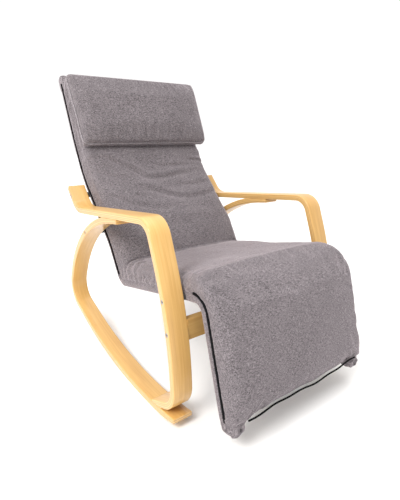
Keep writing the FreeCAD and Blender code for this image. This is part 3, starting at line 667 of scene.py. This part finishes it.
def inflate(obj, pin, cap, grow, bending=0.4):
    """Cloth under pressure with its seams held, then applied with a cap on the movement."""
    start = coords(obj)
    group = obj.vertex_groups.new(name="pin")
    for level in np.unique(np.round(pin, 1)):
        if level > 0:
            members = np.nonzero(np.round(pin, 1) == level)[0].tolist()
            group.add(members, float(level), "REPLACE")
    modifier = obj.modifiers.new("cloth", "CLOTH")
    cloth = modifier.settings
    cloth.quality = 4
    cloth.mass = 0.3
    cloth.use_pressure = True
    cloth.uniform_pressure_force = PRESSURE
    cloth.tension_stiffness = cloth.compression_stiffness = STIFFNESS
    cloth.shear_stiffness = STIFFNESS / 3
    cloth.bending_stiffness = bending
    cloth.shrink_min = -grow
    cloth.effector_weights.gravity = 0
    cloth.vertex_group_mass = "pin"
    modifier.collision_settings.use_collision = False
    modifier.point_cache.frame_start, modifier.point_cache.frame_end = 1, SIM_FRAMES
    scene = bpy.context.scene
    for number in range(1, SIM_FRAMES + 1):
        scene.frame_set(number)
    apply_modifiers(obj)
    scene.frame_set(1)
    move = coords(obj) - start
    far = np.linalg.norm(move, axis=1)
    scale = np.where(far > cap, cap / np.maximum(far, 1e-9), 1)
    set_coords(obj, start + move * scale[:, None])
    obj.vertex_groups.clear()


def subdivide(obj):
    modifier = obj.modifiers.new("subdivide", "SUBSURF")
    modifier.levels = modifier.render_levels = 1
    apply_modifiers(obj)


def cloth_coordinates(obj):
    """Width, length and depth in the cloth; its length grows round the outside of a bend."""
    along, offset = fine_cover_path.project(coords(obj))
    turned = np.interp(along, fine_cover_path.s, fine_cover_path.headings) - cover_path.headings[0]
    attribute(obj, "cloth", np.stack([coords(obj)[:, 0], along + offset * turned, offset], 1))


def ridge(distance, width):
    """A smooth bump, 1 at no distance."""
    return np.exp(-(distance / width) ** 2)


def smooth_line(line, steps=10):
    """A Catmull-Rom curve through points."""
    line = np.array(line, float)
    ends = np.vstack([2 * line[0] - line[1], line, 2 * line[-1] - line[-2]])
    out = []
    for a, b, c, d in zip(ends, ends[1:], ends[2:], ends[3:]):
        for t in np.arange(steps) / steps:
            out.append(0.5 * (2 * b + (c - a) * t + (2 * a - 5 * b + 4 * c - d) * t ** 2
                              + (3 * b - a - 3 * c + d) * t ** 3))
    return np.array(out + [line[-1]])


def crease_distance(x, s, line):
    """Signed distance of points (x, s) from a crease line, and a fade towards its ends."""
    line = smooth_line(line)
    best = np.full(len(x), 1e9)
    signed = np.zeros(len(x))
    share = np.zeros(len(x))
    total = np.linalg.norm(np.diff(line, axis=0), axis=1).sum()
    gone = 0.0
    for a, b in zip(line, line[1:]):
        d = b - a
        length = np.linalg.norm(d)
        rx, rs = x - a[0], s - a[1]
        t = np.clip((rx * d[0] + rs * d[1]) / length ** 2, 0, 1)
        gap = np.hypot(rx - t * d[0], rs - t * d[1])
        closer = gap < best
        side = np.sign(d[0] * rs - d[1] * rx)
        best = np.where(closer, gap, best)
        signed = np.where(closer, gap * side, signed)
        share = np.where(closer, (gone + t * length) / total, share)
        gone += length
    return signed, np.clip(np.sin(math.pi * np.clip(share, 0.02, 0.98)) * 1.6, 0, 1)


cover = cover_shape()
remesh(cover, 0.0055)
relax(cover, 2)
along, offset = cover_path.project(coords(cover))
x = coords(cover)[:, 0]
held = np.clip((0.016 - offset) / 0.006, 0, 1)
seam_gap = np.hypot(offset - SEAM * MM, np.clip(COVER_HALF * MM - np.abs(x), 0, None))
held = np.maximum(held, np.clip((0.012 - seam_gap) / 0.006, 0, 1))
inflate(cover, held, 0.007, grow=0.012, bending=1.5)
subdivide(cover)


# ---------------------------------------------------------------- folds in the cover
# Each fold: points (x, distance along the cover), half width and depth, in millimetres.
FOLDS = [
    ([(-272, 348), (-218, 338), (-180, 347), (-146, 375), (-112, 404), (-78, 434), (-47, 457),
      (31, 460), (120, 447), (222, 436)], 12, 7.0),
    ([(-150, 478), (-104, 497), (-49, 517), (17, 545), (94, 566), (192, 558), (262, 540)], 13, 6.4),
    ([(160, 366), (209, 372), (268, 386)], 9, 5.0),
    ([(-262, 500), (-215, 528), (-151, 570), (-61, 598), (30, 606)], 12, 4.4),
    ([(-250, 402), (-190, 440), (-120, 462)], 11, 4.2),
    ([(-268, 308), (-200, 304), (-90, 322), (10, 326)], 10, 4.0),
    ([(-20, 392), (70, 400), (170, 398)], 12, 4.2),
    ([(60, 498), (150, 506), (240, 492)], 12, 3.8),
    ([(-240, 655), (-120, 668), (40, 662), (200, 672)], 16, 2.4),
    ([(-262, 1276), (-236, 1262), (-205, 1240)], 6, 3.2),
    ([(-266, 1290), (-232, 1286), (-190, 1276)], 7, 3.6),
    ([(-262, 1306), (-228, 1310), (-196, 1302)], 6, 2.8),
    ([(-268, 868), (-232, 862), (-190, 846)], 8, 5.6),
    ([(-266, 902), (-228, 888), (-186, 880)], 8, 5.0),
    ([(-264, 950), (-236, 928), (-204, 926)], 8, 4.4),
    ([(-230, 1278), (-138, 1278), (-11, 1291), (130, 1308), (230, 1312)], 18, 1.8),
    ([(-238, 1590), (-205, 1540), (-190, 1480)], 10, 1.8),
    ([(240, 1590), (215, 1545), (205, 1500)], 10, 1.6),
]


def lumps(co, size, seed):
    """Smooth noise from -1 to 1 at each point."""
    return np.array([noise.noise(Vector(c) / size + Vector((seed, 0, 0))) for c in co])


def hem_wave(x):
    """How far the footrest's lower edge sags below its straight line."""
    return 0.0030 * np.sin(x * 21 + 0.6) + 0.0014 * np.sin(x * 57)


def fold_cloth(obj):
    co, out = coords(obj), normals(obj)
    along, offset = fine_cover_path.project(co)
    front = np.clip((offset - 0.020) / 0.015, 0, 1)
    push = np.zeros(len(co))
    for line, width, depth in FOLDS:
        signed, fade = crease_distance(co[:, 0], along, np.array(line) * MM)
        w = width * MM
        shape = 0.8 * ridge(signed + 1.3 * w, 1.4 * w) - 0.75 * ridge(signed - 0.1 * w, w) \
            + 0.25 * ridge(signed - 2.0 * w, 1.6 * w)
        push += front * fade * depth * MM * shape
    push += front * 0.0022 * lumps(co, 0.085, 3) * (along < S_KNEE)
    seam_line = np.abs(np.abs(co[:, 0]) - COVER_HALF * MM) < 0.012
    groove = seam_line * ridge(offset - SEAM * MM, 0.0045) * (along > 0.004) * (along < S_END - 0.022)
    deep = np.where(along > S_KNEE, 1.6, 1.0)
    push -= 0.0035 * deep * groove
    gathers = seam_line * ridge(offset - SEAM * MM - 0.012, 0.014)
    on_seat = np.clip(np.minimum(along - S_SEAT_CORNER, S_KNEE - 0.03 - along) / 0.03, 0, 1)
    by_pillow = np.clip((0.30 - along) / 0.02, 0, 1) * ridge(offset - 0.040, 0.020) * seam_line
    push += (0.0018 + 0.0030 * on_seat) * gathers * lumps(co, 0.016, 8)
    push += 0.0045 * by_pillow * lumps(co * (1, 1, 0.6), 0.022, 21)
    moved = co + out * push[:, None]
    ear = np.clip((along - S_END + 0.012) / 0.01, 0, 1)
    moved += out * (0.0042 * ear * lumps(co, 0.013, 31))[:, None]
    hem = np.clip((along - S_END + 0.05) / 0.03, 0, 1) * (np.abs(co[:, 0]) < 0.222)
    heading = cover_path.headings[-1]
    moved[:, 1] += hem * hem_wave(co[:, 0]) * math.cos(heading)
    moved[:, 2] += hem * hem_wave(co[:, 0]) * math.sin(heading)
    set_coords(obj, moved)


fold_cloth(cover)
cloth_coordinates(cover)
paint(cover, FABRIC)


# ---------------------------------------------------------------- head pillow
PILLOW_SEAM = 0.098
PILLOW_S = (0.016, 0.287)
PILLOW_HALF = 0.2745
PILLOW_SHIFT = 0.007
PIPING_RADIUS = 0.0027


def pillow_spot(s, x, n):
    """The pillow sits a little to one side and flares at its upper left corner."""
    flare = 0.008 * max(0.0, 1 - (s - PILLOW_S[0]) / 0.16) * min(1.0, max(0.0, -x / 0.2))
    return x + PILLOW_SHIFT - flare, n


def pillow_section(s):
    """The pillow's ring (x, n), thinner towards its top and bottom edges."""
    low, high = PILLOW_S
    t = np.clip(1 - abs(2 * (s - low) / (high - low) - 1), 0.0, 1)
    puff = max(0.04, (1 - (1 - t) ** 6)) ** 0.45
    ring = cover_section(PILLOW_HALF, PILLOW_SEAM + 0.027 * puff, -(profile(s, FRONT) + 0.004),
                         PILLOW_SEAM, crown=0.006 * puff, corner=0.020)
    return [pillow_spot(s, x, n) for x, n in ring]


def pinch_seam(obj):
    """Draws the pillow's edge in along its piped seam, with small gathers behind it."""
    co, out = coords(obj), normals(obj)
    offset = cover_path.project(co)[1]
    inward = (PILLOW_HALF - np.abs(co[:, 0] - PILLOW_SHIFT)) < 0.02
    push = -0.0022 * ridge(offset - PILLOW_SEAM, 0.005)
    push += 0.0035 * inward * ridge(offset - PILLOW_SEAM + 0.016, 0.012) * lumps(co, 0.020, 5)
    set_coords(obj, co + out * push[:, None])


pillow = loft("head_pillow_cover", cover_path, span(*PILLOW_S, 0.006), pillow_section)
remesh(pillow, 0.005)
relax(pillow, 3)
along, offset = cover_path.project(coords(pillow))
edge = np.minimum(PILLOW_HALF - np.abs(coords(pillow)[:, 0] - PILLOW_SHIFT),
                  np.minimum(along - PILLOW_S[0], PILLOW_S[1] - along))
held = np.clip((0.010 - edge) / 0.006, 0, 1)
held = np.maximum(held, np.clip((0.080 - offset) / 0.004, 0, 1))
inflate(pillow, held, 0.008, grow=0.015)
subdivide(pillow)
pinch_seam(pillow)
cloth_coordinates(pillow)
paint(pillow, FABRIC)

# ---------------------------------------------------------------- piping, thickened into painted seam shade
trims = []
for side_name, side in (("left", -1), ("right", 1)):
    # the footrest's black cord is drawn thick, so that it is partly piping and partly painted shade
    # of the seam groove beside it
    for part, first, last, radius in (("back", 0.004, S_SEAT_CORNER - 0.020, 2.8),
                                      ("footrest", S_KNEE - 0.030, S_END - 0.012, 5.6)):
        line = [cover_path.spot(s, side * (COVER_HALF + 3.2 - radius) * MM, SEAM * MM)
                for s in span(first, last, 0.006)]
        trims.append(tube(f"{part}_piping_{side_name}", line, radius * MM))
# a thin black tube along the footrest's lower front edge: partly a seam, partly painted shadow under
# the hem
hem = [cover_path.spot(S_END - 0.0155 + hem_wave(x), x, 0.0505 + 0.005 * (1 - (x / 0.255) ** 4))
       for x in span(-0.226, 0.226, 0.008)]
trims.append(tube("hem_piping_and_painted_shadow", hem, 0.0024))
for trim in trims:
    paint(trim, BLACK_TRIM_AND_PAINTED_SHADE)


def rounded_loop(half, low, high, radius, step=0.006):
    points = []
    for cx, cs, first in ((1, high, 0), (-1, high, 90), (-1, low, 180), (1, low, 270)):
        inner = radius if cs == low else -radius
        for k in range(9):
            a = math.radians(first + 90 * k / 8)
            points.append((cx * (half - radius) + radius * math.cos(a),
                           cs + inner + radius * math.sin(a)))
    points.append(points[0])
    dense = []
    for a, b in zip(points, points[1:]):
        count = max(1, int(math.dist(a, b) / step))
        dense += [(a[0] + (b[0] - a[0]) * k / count, a[1] + (b[1] - a[1]) * k / count)
                  for k in range(count)]
    return dense


loop = rounded_loop(PILLOW_HALF + 0.001, PILLOW_S[0] - 0.001, PILLOW_S[1] + 0.001, 0.022)
line = [cover_path.spot(s, *pillow_spot(s, x, PILLOW_SEAM)) for x, s in loop + loop[:2]]
pillow_piping = tube("pillow_piping", line, PIPING_RADIUS)
cloth_coordinates(pillow_piping)
# the lighter cloth paints the highlight along the cord
paint(pillow_piping, WELT_WITH_PAINTED_HIGHLIGHT)

# ---------------------------------------------------------------- what moves with what
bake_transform(cover)
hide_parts("back_cushion", "seat_cushion", "knee_roll", "footrest_cushion")
for trim in trims:
    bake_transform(trim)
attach(pillow, "chair")
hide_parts("head_pillow")
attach(pillow_piping, "chair")

# ---------------------------------------------------------------- studio
FAR_WALL, NEAR_WALL = 1.05, 0.68
floor = new_object("studio_floor", [(-14, -14, 0), (14, -14, 0), (14, 14, 0), (-14, 14, 0)],
                   [(0, 1, 2, 3)])
paint(floor, plain_material("studio_paper", (0.93, 0.928, 0.922), 0.9, 900, speck_depth=0.02))


def area_light(name, place, target, size, power, colour=(1, 1, 1)):
    data = bpy.data.lights.new(name, "AREA")
    data.shape, data.size, data.energy, data.color = "DISK", size, power, colour
    light = bpy.data.objects.new(name, data)
    light.location = place
    light.rotation_euler = (Vector(target) - Vector(place)).to_track_quat("-Z", "Y").to_euler()
    bpy.context.scene.collection.objects.link(light)


area_light("key_softbox", (-2.2, -0.95, 2.2), (0, 0, 0.6), 1.2, 66, (1.0, 0.985, 0.96))
sun_data = bpy.data.lights.new("overhead_light", "SUN")
sun_data.energy, sun_data.angle = 2.2, math.radians(70)
sun = bpy.data.objects.new("overhead_light", sun_data)
sun.rotation_euler = Vector((0.20, -0.10, -1)).to_track_quat("-Z", "Y").to_euler()
bpy.context.scene.collection.objects.link(sun)
world = bpy.data.worlds.new("studio_world")
bpy.context.scene.world = world
bpy.context.scene.view_settings.view_transform = "Standard"
world.use_nodes = True
sky = world.node_tree.nodes["Background"]
sky.inputs["Color"].default_value = (1.0, 0.99, 0.985, 1)
# the far side of the room is a bright wall, and the near side is dimmer
nodes, links = world.node_tree.nodes, world.node_tree.links
heading, facing = nodes.new("ShaderNodeTexCoord"), nodes.new("ShaderNodeVectorMath")
facing.operation = "DOT_PRODUCT"
facing.inputs[1].default_value = (0.59, 0.81, 0)
level = nodes.new("ShaderNodeMapRange")
level.interpolation_type = "SMOOTHSTEP"
for key, value in (("From Min", -0.3), ("From Max", 0.55),
                   ("To Min", NEAR_WALL), ("To Max", FAR_WALL)):
    level.inputs[key].default_value = value
links.new(heading.outputs["Generated"], facing.inputs[0])
links.new(facing.outputs["Value"], level.inputs["Value"])
links.new(level.outputs["Result"], sky.inputs["Strength"])

camera_data = bpy.data.cameras.new("camera")
camera_data.lens = 27.0
camera_data.sensor_width = 36.0
camera = bpy.data.objects.new("camera", camera_data)
camera.location = (-0.765, -1.072, 0.775)
camera.rotation_euler = Vector((0.5645, 0.7704, -0.2963)).to_track_quat("-Z", "Y").to_euler()
bpy.context.scene.collection.objects.link(camera)
bpy.context.scene.camera = camera
